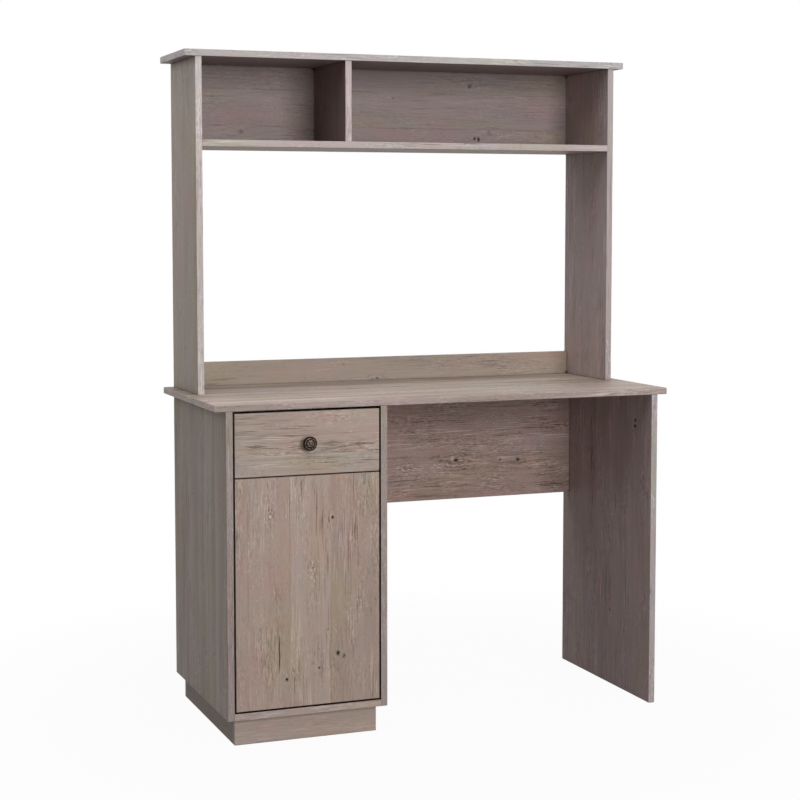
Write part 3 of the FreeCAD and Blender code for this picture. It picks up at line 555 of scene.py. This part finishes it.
cabinetLeftLook = {
    "grain": "Z", "across": "Y", "seed": 11.9, "figure": 0.3, "tone": 0.04, "contrast": 1.35, "broad": 0.5,
    "tint": (0.98, 1.0, 1.04), "edgeTint": (0.82, 0.83, 0.92),
    "seams": (-0.13, -0.03, 0.12),
    "knots": ((-0.225, -0.05, 0.0034, 0.6), (0.12, 0.06, 0.0026, 0.5)),
}
dressBoard("cabinet_left_side", cabinetLeftLook)

cabinetRightLook = {
    "grain": "Z", "across": "Y", "seed": 14.2, "figure": 0.3, "edgeTint": (0.95, 1.00, 1.13),
    "seams": (-0.10, 0.01, 0.11),
    "knots": ((0.08, -0.04, 0.0034, 0.8), (-0.21, 0.09, 0.0026, 0.7)),
}
dressBoard("cabinet_right_side", cabinetRightLook)

cabinetBottomLook = {"grain": "X", "across": "Y", "seed": 17.4, "figure": 0.3,
                     "edgeTint": (1.18, 1.17, 1.25), "seams": (-0.09, 0.05)}
dressBoard("cabinet_bottom", cabinetBottomLook)

deckLook = {"grain": "X", "across": "Y", "seed": 19.6, "figure": 0.3, "edgeTint": cabinetEdge,
            "seams": (-0.07, 0.06)}
dressBoard("drawer_deck", deckLook)

shelfLook = {"grain": "X", "across": "Y", "seed": 22.8, "figure": 0.3, "edgeTint": cabinetEdge,
             "seams": (-0.06, 0.07)}
dressBoard("cupboard_shelf", shelfLook)

plinthFrontLook = {"grain": "X", "across": "Z", "seed": 25.1, "figure": 0.1, "tone": 0.14, "contrast": 0.7,
                   "edgeTint": cabinetEdge}
dressBoard("plinth_front", plinthFrontLook)

plinthBackLook = {"grain": "X", "across": "Z", "seed": 27.3, "figure": 0.2, "edgeTint": cabinetEdge}
dressBoard("plinth_back", plinthBackLook)

# the low tone is painted shade: this board stands in shadow under the cabinet
plinthLeftLook = {"grain": "Y", "across": "Z", "seed": 29.5, "figure": 0.2, "tone": -0.32,
                  "edgeTint": cabinetEdge}
dressBoard("plinth_left", plinthLeftLook)

plinthRightLook = {"grain": "Y", "across": "Z", "seed": 31.7, "figure": 0.2, "edgeTint": cabinetEdge}
dressBoard("plinth_right", plinthRightLook)

# the inner face carries a tint of painted shade
legLook = {
    "grain": "Z", "across": "Y", "seed": 34.4, "figure": 0.2, "tone": 0.16, "contrast": 1.5, "broad": 0.2,
    "shadedFaceWay": 1.0, "paintedShadeTint": (0.985, 0.925, 1.07), "edgeTint": (0.96, 1.03, 1.21),
    "seams": (-0.137, 0.051, 0.15),
    "knots": ((0.299, -0.147, 0.0031, 1.0), (0.285, -0.147, 0.0027, 1.0), (-0.184, -0.030, 0.0036, 0.7),
              (-0.287, 0.129, 0.0020, 0.7)),
}
dressBoard("right_leg_panel", legLook)

# the inner face carries a tint of painted shade
modestyLook = {
    "grain": "X", "across": "Z", "seed": 37.2, "figure": 0.3, "tone": 0.05, "contrast": 1.7,
    "shadedFaceWay": 1.0, "paintedShadeTint": (0.97, 0.88, 0.935), "edgeTint": cabinetEdge,
    "seams": (-0.032,),
    "knots": ((0.014, -0.048, 0.0046, 1.0), (0.186, -0.054, 0.0036, 1.0), (0.136, -0.052, 0.0026, 0.7),
              (-0.125, -0.059, 0.0028, 0.5), (0.247, 0.044, 0.0024, 0.4), (0.191, 0.016, 0.0019, 0.7)),
    "cracks": ((-0.24, 0.064, 0.11, 0.5),),
}
dressBoard("modesty_panel", modestyLook)

# the raised tone is painted light: it lightens the left face beyond what the lamps give
hutchLeftLook = {"grain": "Z", "across": "Y", "seed": 41.5, "figure": 0.2, "tone": 0.23, "contrast": 1.3,
                 "tint": (1.0, 1.01, 1.04), "edgeTint": (1.08, 1.15, 1.27), "seams": (0.007,)}
dressBoard("hutch_left_side", hutchLeftLook)

# the raised tone is painted light, and the inner face carries a tint of painted shade
hutchRightLook = {"grain": "Z", "across": "Y", "seed": 44.9, "figure": 0.2, "tone": 0.22, "contrast": 1.3,
                  "shadedFaceWay": 1.0, "paintedShadeTint": (1.04, 1.04, 1.18), "edgeTint": (0.88, 0.93, 1.07),
                  "seams": (0.014,)}
dressBoard("hutch_right_side", hutchRightLook)

# the underside carries a tint of painted shade, and the lighter ends are partly the edge band's colour and
# partly painted light
hutchTopLook = {"grain": "X", "across": "Y", "seed": 47.3, "figure": 0.2, "tone": -0.08,
                "shadedFaceWay": -1.0, "paintedShadeTint": (0.78, 0.78, 0.98),
                "edgeTint": (1.33, 1.57, 1.88), "endTint": (1.40, 1.38, 1.38), "seams": (-0.03,)}
dressBoard("hutch_top", hutchTopLook)

hutchShelfLook = {"grain": "X", "across": "Y", "seed": 51.1, "figure": 0.2, "edgeTint": (1.18, 1.28, 1.47),
                  "seams": (0.03,)}
dressBoard("hutch_shelf", hutchShelfLook)

# the darker tone, the tint and the inner face's tint are painted shade
dividerLook = {"grain": "Z", "across": "Y", "seed": 53.8, "figure": 0.2, "tone": -0.10,
               "tint": (0.92, 0.90, 0.95), "shadedFaceWay": 1.0, "paintedShadeTint": (0.80, 0.76, 0.92),
               "edgeTint": (1.52, 1.62, 1.95), "seams": (0.02,)}
dressBoard("hutch_divider", dividerLook)

lowRailLook = {
    "grain": "X", "across": "Z", "seed": 56.6, "figure": 0.2, "contrast": 0.8,
    "tint": (0.95, 0.98, 0.99), "edgeTint": deskEdge,
    "knots": ((-0.012, -0.024, 0.0026, 0.8), (-0.10, 0.014, 0.0018, 0.4)),
}
dressBoard("hutch_low_rail", lowRailLook)
print("boards dressed")


# thin boards: the oak print on the side that shows, bare brown fibre behind

fibreLook = {
    "dark": (0.105, 0.062, 0.035), "light": (0.235, 0.150, 0.090), "roughness": 0.78,
    "clumpStretch": 260.0, "clumpShare": 0.6,
    "hairStretch": (90.0, 900.0, 700.0), "hairShare": 0.4,
    "mottle": (0.35, 0.65),
}


def dressHardboard(name, look, printedWay):
    made, tree, shader = newMaterial("printed_hardboard_" + name)
    oak = oakSurface(tree, name, look)
    coord = put(tree, "TexCoord")
    clumps = grainNoise(tree, coord.outputs["Object"], fibreLook["clumpStretch"], detail=4.0, rough=0.65)
    hairs = grainNoise(tree, coord.outputs["Object"], fibreLook["hairStretch"], rough=0.6)
    matted = add(tree, times(tree, clumps, fibreLook["clumpShare"]),
                 times(tree, hairs, fibreLook["hairShare"]))
    mottled = fade(tree, matted, *fibreLook["mottle"])
    fibre = tintBy(tree, mottled, fibreLook["dark"], fibreLook["light"])
    isPrinted = isAbove(tree, vecCalc(tree, "DOT_PRODUCT", coord.outputs["Normal"], printedWay), 0.5)
    finishOak(tree, shader, tintBy(tree, isPrinted, fibre, oak["Colour"]),
              pick(tree, isPrinted, fibreLook["roughness"], oak["Roughness"]),
              pick(tree, isPrinted, mottled, oak["Height"]))
    dress(name, made)


hutchBackLook = {
    "grain": "X", "across": "Z", "seed": 61.3, "figure": 0.35, "tone": -0.06, "contrast": 0.58,
    "tint": (0.95, 0.975, 1.13), "seams": (-0.048, 0.039),
    "knots": ((0.255, -0.071, 0.0031, 1.0), (0.266, -0.072, 0.0027, 1.0), (0.294, -0.054, 0.0050, 0.25),
              (0.241, 0.059, 0.0042, 0.6), (0.036, 0.025, 0.0026, 0.4), (-0.354, -0.062, 0.0042, 0.4)),
}
dressHardboard("hutch_back", hutchBackLook, (0.0, -1.0, 0.0))
cabinetBackLook = {"grain": "Z", "across": "X", "seed": 64.7, "figure": 0.4, "seams": (-0.08, 0.05)}
dressHardboard("cabinet_back", cabinetBackLook, (0.0, -1.0, 0.0))
drawerBottomLook = {"grain": "Y", "across": "X", "seed": 67.9, "figure": 0.3, "gapShadeAmount": 0.0,
                    "seams": (-0.08, 0.05)}
dressHardboard("drawer_bottom", drawerBottomLook, (0.0, 0.0, 1.0))
print("thin boards dressed")


# knob: blackened bronze, rubbed bright on the ring and on the dome's shoulder, black in the grooves

knobLook = {
    "black": (0.007, 0.0035, 0.002),
    "bronze": (0.052, 0.033, 0.024),
    "rubbed": (0.300, 0.230, 0.190),
    # crests are (radius, width, how rubbed), grooves are (radius, width)
    "crests": ((0.0118, 0.0009, 0.9), (0.0062, 0.0017, 0.8), (0.0018, 0.0020, 0.35)),
    "grooves": ((0.0096, 0.0011), (0.0146, 0.0016)),
    "patchStretch": 330.0, "bronzePatches": (0.36, 0.62), "rubbedPatches": (0.34, 0.58),
    "scratchStretch": (1900.0, 1900.0, 300.0),
    "metallic": 0.4, "specular": 0.05,
    "roughness": 0.50, "rubbedGloss": 0.18, "scratchRough": 0.12,
    "scratchDepth": 0.3, "emboss": (0.5, 0.0003),
}


def ringBand(tree, radius, middle, width):
    step = over(tree, minus(tree, radius, middle), width)
    return bell(tree, times(tree, step, step))


def makeKnobBronze():
    look = knobLook
    made, tree, shader = newMaterial("aged_bronze")
    low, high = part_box("drawer_knob")
    place = put(tree, "Mapping")
    place.inputs["Location"].default_value = -(low + high) / 2
    wire(tree, objectSpot(tree), place.inputs["Vector"])
    spot = place.outputs[0]
    offAxis = split(tree, spot)
    radius = vecCalc(tree, "LENGTH", join(tree, offAxis["X"], offAxis["Z"], 0.0))
    patches = grainNoise(tree, spot, look["patchStretch"], detail=3.0, rough=0.6)
    scratches = grainNoise(tree, spot, look["scratchStretch"], rough=0.6)
    colour = tintBy(tree, fade(tree, patches, *look["bronzePatches"]), look["black"], look["bronze"])
    for middle, width in look["grooves"]:
        colour = tintBy(tree, ringBand(tree, radius, middle, width), colour, look["black"])
    rubbing = 0.0
    for middle, width, amount in look["crests"]:
        rubbing = larger(tree, rubbing, times(tree, ringBand(tree, radius, middle, width), amount))
    rubbing = times(tree, rubbing, fade(tree, patches, *look["rubbedPatches"]))
    colour = tintBy(tree, rubbing, colour, look["rubbed"])
    shader.inputs["Metallic"].default_value = look["metallic"]
    shader.inputs["Specular IOR Level"].default_value = look["specular"]
    smooth = minus(tree, look["roughness"], times(tree, rubbing, look["rubbedGloss"]))
    roughness = add(tree, smooth, times(tree, scratches, look["scratchRough"]))
    height = add(tree, patches, times(tree, scratches, look["scratchDepth"]))
    finishSurface(tree, shader, colour, roughness, height, look["emboss"])
    return made


# bright zinc on the hinges, screws, pins and rivets: drawn lines, grey bloom and a few warm stains

zincLook = {
    "grey": (0.36, 0.37, 0.39), "bright": (0.66, 0.67, 0.69), "stain": (0.55, 0.50, 0.38),
    "cloudStretch": 240.0, "clouds": (0.32, 0.66), "cloudRough": 0.24,
    "drawnStretch": (1400.0, 160.0, 1400.0), "drawnRough": 0.30,
    "stainStretch": 70.0, "stains": (0.52, 0.72), "mostStain": 0.45,
    "metallic": 1.0, "emboss": (0.2, 0.0001),
}


def makeZincPlate():
    look = zincLook
    made, tree, shader = newMaterial("zinc_plate")
    spot = objectSpot(tree)
    cloud = grainNoise(tree, spot, look["cloudStretch"], detail=3.0, rough=0.6)
    drawn = grainNoise(tree, spot, look["drawnStretch"], rough=0.6)
    stains = grainNoise(tree, spot, look["stainStretch"])
    stained = fade(tree, stains, *look["stains"], 0.0, look["mostStain"])
    colour = tintBy(tree, fade(tree, cloud, *look["clouds"]), look["grey"], look["bright"])
    colour = tintBy(tree, stained, colour, look["stain"])
    roughness = add(tree, times(tree, cloud, look["cloudRough"]), times(tree, drawn, look["drawnRough"]))
    shader.inputs["Metallic"].default_value = look["metallic"]
    finishSurface(tree, shader, colour, roughness, drawn, look["emboss"])
    return made


# bare casting on the cam locks: dull, pitted, cleaner in patches

castingLook = {
    "dull": (0.27, 0.27, 0.28), "clean": (0.50, 0.50, 0.51),
    "pitStretch": 900.0, "pitRough": 0.3, "cloudStretch": 180.0, "clouds": (0.35, 0.65),
    "metallic": 1.0, "roughness": 0.36, "emboss": (0.45, 0.0002),
}


def makeZincCasting():
    look = castingLook
    made, tree, shader = newMaterial("zinc_casting")
    spot = objectSpot(tree)
    pits = grainNoise(tree, spot, look["pitStretch"], detail=3.0, rough=0.65)
    cloud = grainNoise(tree, spot, look["cloudStretch"])
    colour = tintBy(tree, fade(tree, cloud, *look["clouds"]), look["dull"], look["clean"])
    roughness = add(tree, look["roughness"], times(tree, pits, look["pitRough"]))
    shader.inputs["Metallic"].default_value = look["metallic"]
    finishSurface(tree, shader, colour, roughness, pits, look["emboss"])
    return made


# white enamel on the runners: orange peel, and grey tracks along the drawer's travel

enamelLook = {
    "white": (0.74, 0.74, 0.72), "shaded": (0.66, 0.66, 0.63), "track": (0.36, 0.35, 0.34),
    "peelStretch": 420.0, "peel": (0.35, 0.65),
    "trackStretch": (700.0, 5.0, 520.0), "tracks": (0.57, 0.68),
    "patchStretch": (60.0, 9.0, 60.0), "patches": (0.48, 0.66), "mostWorn": 0.6,
    "roughness": 0.24, "wornRough": 0.4, "emboss": (0.25, 0.0002),
}


def makeEnamel():
    look = enamelLook
    made, tree, shader = newMaterial("white_enamel")
    spot = objectSpot(tree)
    peel = grainNoise(tree, spot, look["peelStretch"])
    tracks = fade(tree, grainNoise(tree, spot, look["trackStretch"]), *look["tracks"])
    patches = grainNoise(tree, spot, look["patchStretch"])
    worn = times(tree, tracks, fade(tree, patches, *look["patches"], 0.0, look["mostWorn"]))
    colour = tintBy(tree, fade(tree, peel, *look["peel"]), look["shaded"], look["white"])
    colour = tintBy(tree, worn, colour, look["track"])
    roughness = add(tree, look["roughness"], times(tree, worn, look["wornRough"]))
    finishSurface(tree, shader, colour, roughness, minus(tree, peel, worn), look["emboss"])
    return made


# moulded nylon on the rollers and the plunger: slightly yellowed, with flow clouds

nylonLook = {
    "clean": (0.78, 0.77, 0.73), "yellowed": (0.66, 0.62, 0.53),
    "flowStretch": (160.0, 160.0, 60.0), "flow": (0.4, 0.7), "grainStretch": 1500.0,
    "roughness": 0.34, "grainRough": 0.2, "emboss": (0.15, 0.0001),
}


def makeNylon():
    look = nylonLook
    made, tree, shader = newMaterial("white_nylon")
    spot = objectSpot(tree)
    flow = grainNoise(tree, spot, look["flowStretch"], detail=3.0, rough=0.55)
    grain = grainNoise(tree, spot, look["grainStretch"])
    colour = tintBy(tree, fade(tree, flow, *look["flow"]), look["clean"], look["yellowed"])
    roughness = add(tree, look["roughness"], times(tree, grain, look["grainRough"]))
    finishSurface(tree, shader, colour, roughness, grain, look["emboss"])
    return made


# grey plastic on the latch: sparked mould texture with paler rub marks

plasticLook = {
    "grey": (0.175, 0.18, 0.19), "paler": (0.27, 0.275, 0.285),
    "sparkStretch": 1800.0, "rubStretch": (110.0, 400.0, 110.0), "rubs": (0.50, 0.72),
    "roughness": 0.40, "sparkRough": 0.26, "emboss": (0.3, 0.0001),
}


def makePlastic():
    look = plasticLook
    made, tree, shader = newMaterial("grey_plastic")
    spot = objectSpot(tree)
    spark = grainNoise(tree, spot, look["sparkStretch"], rough=0.6)
    rub = fade(tree, grainNoise(tree, spot, look["rubStretch"], detail=3.0), *look["rubs"])
    colour = tintBy(tree, rub, look["grey"], look["paler"])
    roughness = add(tree, look["roughness"], times(tree, spark, look["sparkRough"]))
    finishSurface(tree, shader, colour, roughness, spark, look["emboss"])
    return made


# bare beech on the dowels: soft bands and darker flecks

beechLook = {
    "pale": (0.60, 0.43, 0.28), "brown": (0.42, 0.27, 0.16),
    "bandStretch": (90.0, 340.0, 340.0), "bands": (0.36, 0.66),
    "fleckStretch": 1200.0, "flecks": (0.58, 0.70), "mostFleck": 0.6,
    "roughness": 0.50, "bandRough": 0.24, "emboss": (0.3, 0.0002),
}


def makeBeech():
    look = beechLook
    made, tree, shader = newMaterial("beech")
    spot = objectSpot(tree)
    bands = grainNoise(tree, spot, look["bandStretch"], detail=3.0, rough=0.6)
    flecks = grainNoise(tree, spot, look["fleckStretch"], detail=1.0)
    flecked = fade(tree, flecks, *look["flecks"], 0.0, look["mostFleck"])
    colour = tintBy(tree, fade(tree, bands, *look["bands"]), look["pale"], look["brown"])
    colour = tintBy(tree, flecked, colour, look["brown"])
    roughness = add(tree, look["roughness"], times(tree, bands, look["bandRough"]))
    finishSurface(tree, shader, colour, roughness, bands, look["emboss"])
    return made


# pale melamine on the drawer box: pearl emboss, faint clouds, and scuffs along the boards

melamineLook = {
    "pale": (0.70, 0.665, 0.60), "cream": (0.60, 0.565, 0.505), "scuff": (0.40, 0.375, 0.34),
    "pearlStretch": 850.0, "pearlShare": 0.5,
    "cloudStretch": 26.0, "cloudShare": 0.5, "clouds": (0.36, 0.64),
    "scuffStretch": (420.0, 14.0, 420.0), "scuffs": (0.64, 0.74), "mostScuff": 0.5,
    "roughness": 0.38, "pearlRough": 0.22, "emboss": (0.2, 0.0002),
}


def makeMelamine():
    look = melamineLook
    made, tree, shader = newMaterial("pale_melamine")
    spot = objectSpot(tree)
    pearl = grainNoise(tree, spot, look["pearlStretch"], detail=3.0, rough=0.6)
    cloud = grainNoise(tree, spot, look["cloudStretch"], detail=3.0, rough=0.6)
    scuffs = grainNoise(tree, spot, look["scuffStretch"])
    scuffed = fade(tree, scuffs, *look["scuffs"], 0.0, look["mostScuff"])
    mottle = add(tree, times(tree, pearl, look["pearlShare"]), times(tree, cloud, look["cloudShare"]))
    colour = tintBy(tree, fade(tree, mottle, *look["clouds"]), look["cream"], look["pale"])
    colour = tintBy(tree, scuffed, colour, look["scuff"])
    roughness = add(tree, look["roughness"], times(tree, pearl, look["pearlRough"]))
    finishSurface(tree, shader, colour, roughness, pearl, look["emboss"])
    return made


finishes = {
    "pale_melamine": makeMelamine(),
    "zinc_plate": makeZincPlate(),
    "zinc_casting": makeZincCasting(),
    "white_enamel": makeEnamel(),
    "white_nylon": makeNylon(),
    "grey_plastic": makePlastic(),
    "beech": makeBeech(),
    "aged_bronze": makeKnobBronze(),
}
for part in frame["record"]["subparts"]:
    if part["material_slot"] in finishes:
        dress(part["node"], finishes[part["material_slot"]])
print("hardware dressed")


# camera close to the photograph's place, with less shift so that other views stay in the picture

cameraLook = {"place": (-1.5367, -3.7740, 1.1417), "yaw": 20.197, "pitch": -4.312, "roll": -0.113,
              "lens": 78.11, "sensor": 36.0, "shiftX": 0.055, "shiftY": -0.06}
lensData = bpy.data.cameras.new("camera")
lensData.lens = cameraLook["lens"]
lensData.sensor_width = cameraLook["sensor"]
lensData.shift_x = cameraLook["shiftX"]
lensData.shift_y = cameraLook["shiftY"]
camera = bpy.data.objects.new("camera", lensData)
camera.location = cameraLook["place"]
camera.rotation_euler = (math.radians(90 + cameraLook["pitch"]), math.radians(-cameraLook["roll"]),
                         math.radians(-cameraLook["yaw"]))
scene.collection.objects.link(camera)
scene.camera = camera


# floor, background and light; the floor clears to white away from the desk

stageLook = {"floorColour": (0.32, 0.32, 0.32), "floorRough": 0.9, "floorSpecular": 0.0, "floorSize": 30.0,
             "whiten": 0.96, "clear": (0.7, 1.5), "background": (1.0, 1.0, 1.0), "ambient": 0.05}


def seenRay(tree):
    ray = put(tree, "LightPath")
    seen = larger(tree, ray.outputs["Is Camera Ray"], ray.outputs["Is Glossy Ray"])
    return larger(tree, seen, ray.outputs["Is Transmission Ray"])


def makeFloor():
    sheet = bmesh.new()
    bmesh.ops.create_grid(sheet, x_segments=1, y_segments=1, size=stageLook["floorSize"] / 2)
    data = bpy.data.meshes.new("floor")
    sheet.to_mesh(data)
    sheet.free()
    floor = bpy.data.objects.new("floor", data)
    scene.collection.objects.link(floor)
    made, tree, shader = newMaterial("pale_floor")
    wire(tree, stageLook["floorColour"], shader.inputs["Base Color"])
    shader.inputs["Roughness"].default_value = stageLook["floorRough"]
    shader.inputs["Specular IOR Level"].default_value = stageLook["floorSpecular"]
    glow = put(tree, "Emission")
    away = vecCalc(tree, "LENGTH", objectSpot(tree))
    amount = fade(tree, away, *stageLook["clear"], stageLook["whiten"], 1.0)
    mix = put(tree, "MixShader")
    wire(tree, times(tree, seenRay(tree), amount), mix.inputs[0])
    wire(tree, shader.outputs[0], mix.inputs[1])
    wire(tree, glow.outputs[0], mix.inputs[2])
    wire(tree, mix.outputs[0], tree.nodes["Material Output"].inputs["Surface"])
    data.materials.append(made)


def makeWorld():
    world = bpy.data.worlds.new("studio")
    world.use_nodes = True
    scene.world = world
    tree = world.node_tree
    back = tree.nodes["Background"]
    wire(tree, stageLook["background"], back.inputs["Color"])
    wire(tree, pick(tree, seenRay(tree), stageLook["ambient"], 1.0), back.inputs["Strength"])


# a lamp that isn't mirrored leaves no bright patch in the boards
lampLooks = {
    "key": {"power": 145.0, "size": 2.2, "mirrored": True,
            "place": (0.6, -4.7, 1.85), "aim": (0.0, 0.0, 0.8)},
    "top": {"power": 62.0, "size": 2.6, "mirrored": True,
            "place": (-0.2, -1.0, 3.4), "aim": (-0.2, -0.4, 0.7)},
    "back": {"power": 90.0, "size": 2.2, "mirrored": False,
             "place": (2.6, 3.4, 2.2), "aim": (0.1, 0.0, 0.8)},
    "left": {"power": 13.0, "size": 1.4, "mirrored": False,
             "place": (-2.2, 0.8, 2.2), "aim": (-0.4, 0.1, 1.0)},
}


def makeLamp(name, look):
    data = bpy.data.lights.new(name, "AREA")
    data.energy = look["power"]
    data.size = look["size"]
    lamp = bpy.data.objects.new(name, data)
    lamp.location = look["place"]
    lamp.visible_glossy = look["mirrored"]
    aim = Vector(look["aim"]) - Vector(look["place"])
    lamp.rotation_euler = aim.to_track_quat("-Z", "Y").to_euler()
    scene.collection.objects.link(lamp)


makeFloor()
makeWorld()
for lampName, lampLook in lampLooks.items():
    makeLamp(lampName, lampLook)
print("stage lit")
